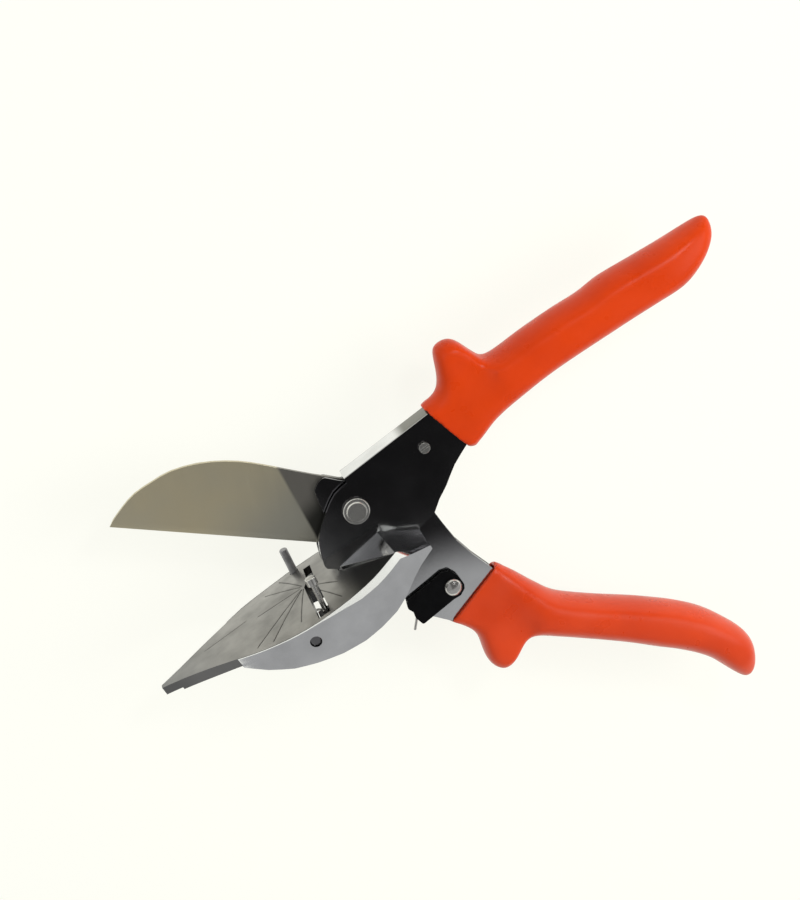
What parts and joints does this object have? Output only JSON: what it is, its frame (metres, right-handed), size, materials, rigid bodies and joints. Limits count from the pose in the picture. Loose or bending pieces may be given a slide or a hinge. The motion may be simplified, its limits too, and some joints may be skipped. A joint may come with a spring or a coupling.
{
  "type": "mitre shears",
  "caption": "Mitre shears: a curved blade swings down on a leaf-shaped anvil plate with a sliding stop pin; two dipped grips, a swinging latch and a return spring.",
  "frame": {"origin": "middle of the pivot bolt's head face", "axes": "+Z along the pivot axis towards the near side, -X along the anvil to its nose, +Y towards the spine of the anvil lever; the tool lies on its far flank, open"},
  "size_m": [0.2246, 0.1754, 0.0508],
  "materials": {
    "polished_steel": "polished nickel-like steel sheet",
    "cast_anvil": "die-cast plate with a fine satin top",
    "blade_steel": "satin ground blade",
    "black_steel": "black oxide",
    "bright_fastener": "bright plated",
    "orange_vinyl": "glossy dipped vinyl"
  },
  "bodies": {
    "root": {"anvil_lever": "polished_steel", "anvil_plate": "cast_anvil", "plate_pin_near": "bright_fastener", "plate_pin_far": "bright_fastener", "stop_pin_far": "polished_steel", "upper_grip": "orange_vinyl", "pivot_bolt": "bright_fastener", "pivot_nut": "polished_steel", "pivot_washer_near": "bright_fastener", "pivot_washer_far": "bright_fastener", "stop_screw": "bright_fastener", "stop_sleeve": "polished_steel", "stop_nut": "polished_steel", "spring_pin_fixed": "bright_fastener", "return_spring": "bright_fastener"},
    "blade_lever": {"blade": "blade_steel", "blade_leaf_near": "polished_steel", "blade_leaf_far": "polished_steel", "leaf_spacer": "polished_steel", "blade_rivet_1": "bright_fastener", "blade_rivet_2": "bright_fastener", "spacer_rivet_1": "bright_fastener", "spacer_rivet_2": "bright_fastener", "lower_grip": "orange_vinyl", "latch_rivet": "bright_fastener", "spring_pin_moving": "bright_fastener"},
    "latch_body": {"latch": "black_steel"},
    "slide_stop": {"stop_pin_near": "bright_fastener", "stop_foot": "polished_steel"}
  },
  "joints": [
    {"name": "blade_swing", "type": "hinge", "parent": "root", "child": "blade_lever", "pos_m": [0, 0, -0.0065], "axis": [0, 0, 1], "range_deg": [0, 41.5], "stiffness_Nm_per_rad": 0.4, "springref_deg": -20.05, "deforming": ["return_spring"]},
    {"name": "latch_swing", "type": "hinge", "parent": "blade_lever", "child": "latch_body", "pos_m": [0.01086, -0.04051, -0.0034], "axis": [0, 0, 1], "range_deg": [-52, 0]},
    {"name": "stop_slide", "type": "slide", "parent": "root", "child": "slide_stop", "axis": [0, 0, 1], "range_m": [-0.012, 0.003]}
  ]
}
